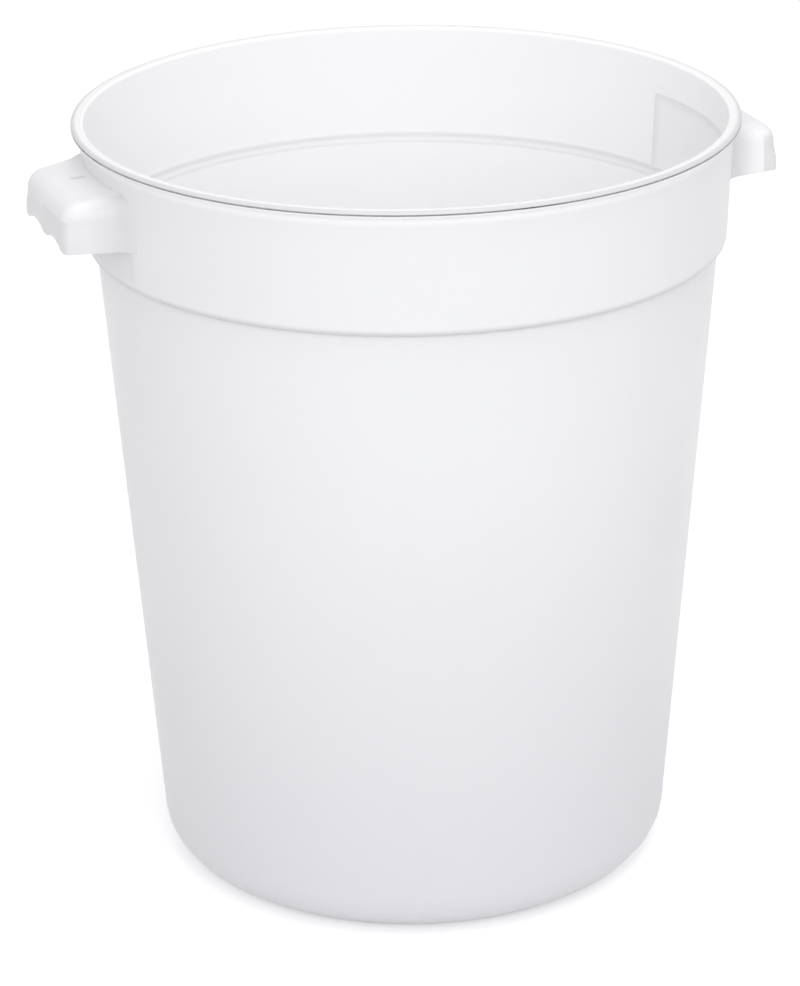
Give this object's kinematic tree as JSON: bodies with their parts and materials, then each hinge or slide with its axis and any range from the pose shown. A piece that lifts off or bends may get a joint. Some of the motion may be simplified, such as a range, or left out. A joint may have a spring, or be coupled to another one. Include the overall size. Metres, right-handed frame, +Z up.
{
  "type": "dough proofing container",
  "caption": "Tall round tapered tub of milky plastic with a stepped collar, thickened rim and side handles, for proofing dough or storing food.",
  "frame": {"origin": "centre of the base, on the surface that the tub stands on", "axes": "+Z up through the open mouth, +X through the middle of the right handle"},
  "size_m": [0.361, 0.3212, 0.381],
  "materials": {
    "tub_plastic": "milky translucent polypropylene, soft sheen",
    "edge_plastic": "milky polypropylene, denser at the thick edges",
    "handle_plastic": "milky polypropylene, soft sheen"
  },
  "bodies": {
    "root": {"base_floor": "tub_plastic", "foot_ring": "tub_plastic", "base_corner": "tub_plastic", "side_wall": "tub_plastic", "shoulder_ledge": "edge_plastic", "collar_wall": "tub_plastic", "rim_bead": "edge_plastic", "left_handle_top": "handle_plastic", "left_grip_wall": "handle_plastic", "left_front_end_wall": "handle_plastic", "left_rear_end_wall": "handle_plastic", "right_handle_top": "handle_plastic", "right_grip_wall": "handle_plastic", "right_front_end_wall": "handle_plastic", "right_rear_end_wall": "handle_plastic"}
  },
  "joints": []
}
